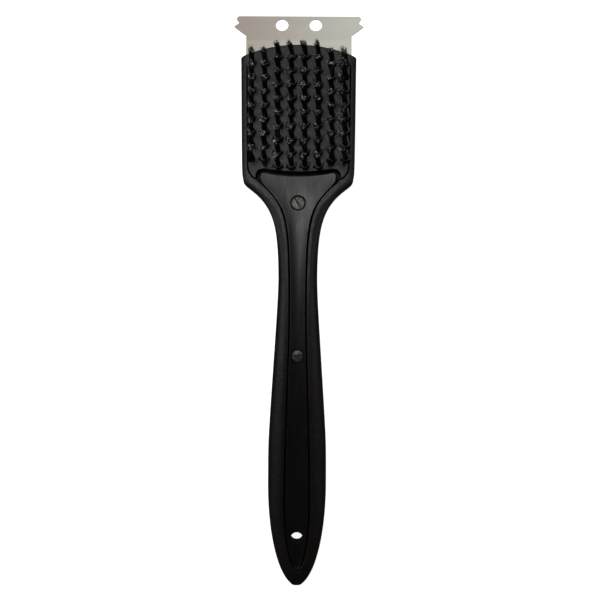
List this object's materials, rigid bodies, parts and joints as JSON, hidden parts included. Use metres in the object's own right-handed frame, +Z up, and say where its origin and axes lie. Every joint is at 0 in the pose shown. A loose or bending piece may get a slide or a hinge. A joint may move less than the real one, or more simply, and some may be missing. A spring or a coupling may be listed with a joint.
{
  "type": "grill cleaning brush",
  "caption": "Long-handled grill brush: arched black handle with a cover panel, rows of crimped steel wire tufts and a folded stainless scraper with toothed ends.",
  "frame": {"origin": "on the surface that the brush lies on, midway between the scraper's edge and the handle's tail, on the centre line", "axes": "+Z up, the way the tufts stand when the brush lies on its back; +Y along the brush towards the scraper; +X across, to the right of someone who looks from the tail to the scraper"},
  "size_m": [0.082, 0.3588, 0.0538],
  "materials": {
    "moulding": "fine-grained black moulding",
    "panel": "fine-grained black moulding",
    "bristle": "dark crimped steel wire with bright cut ends",
    "sheet": "plain rolled stainless sheet",
    "screw": "dark plated screw"
  },
  "bodies": {
    "root": {"handle_body": "moulding", "grip_panel": "panel", "panel_screw_upper": "screw", "panel_screw_lower": "screw", "scraper_blade": "sheet", "scraper_screw_left": "screw", "scraper_screw_right": "screw", "bristle_column_1": "bristle", "bristle_column_2": "bristle", "bristle_column_3": "bristle", "bristle_column_4": "bristle", "bristle_column_5": "bristle", "bristle_column_6": "bristle", "bristle_column_7": "bristle", "bristle_column_8": "bristle"}
  },
  "joints": []
}
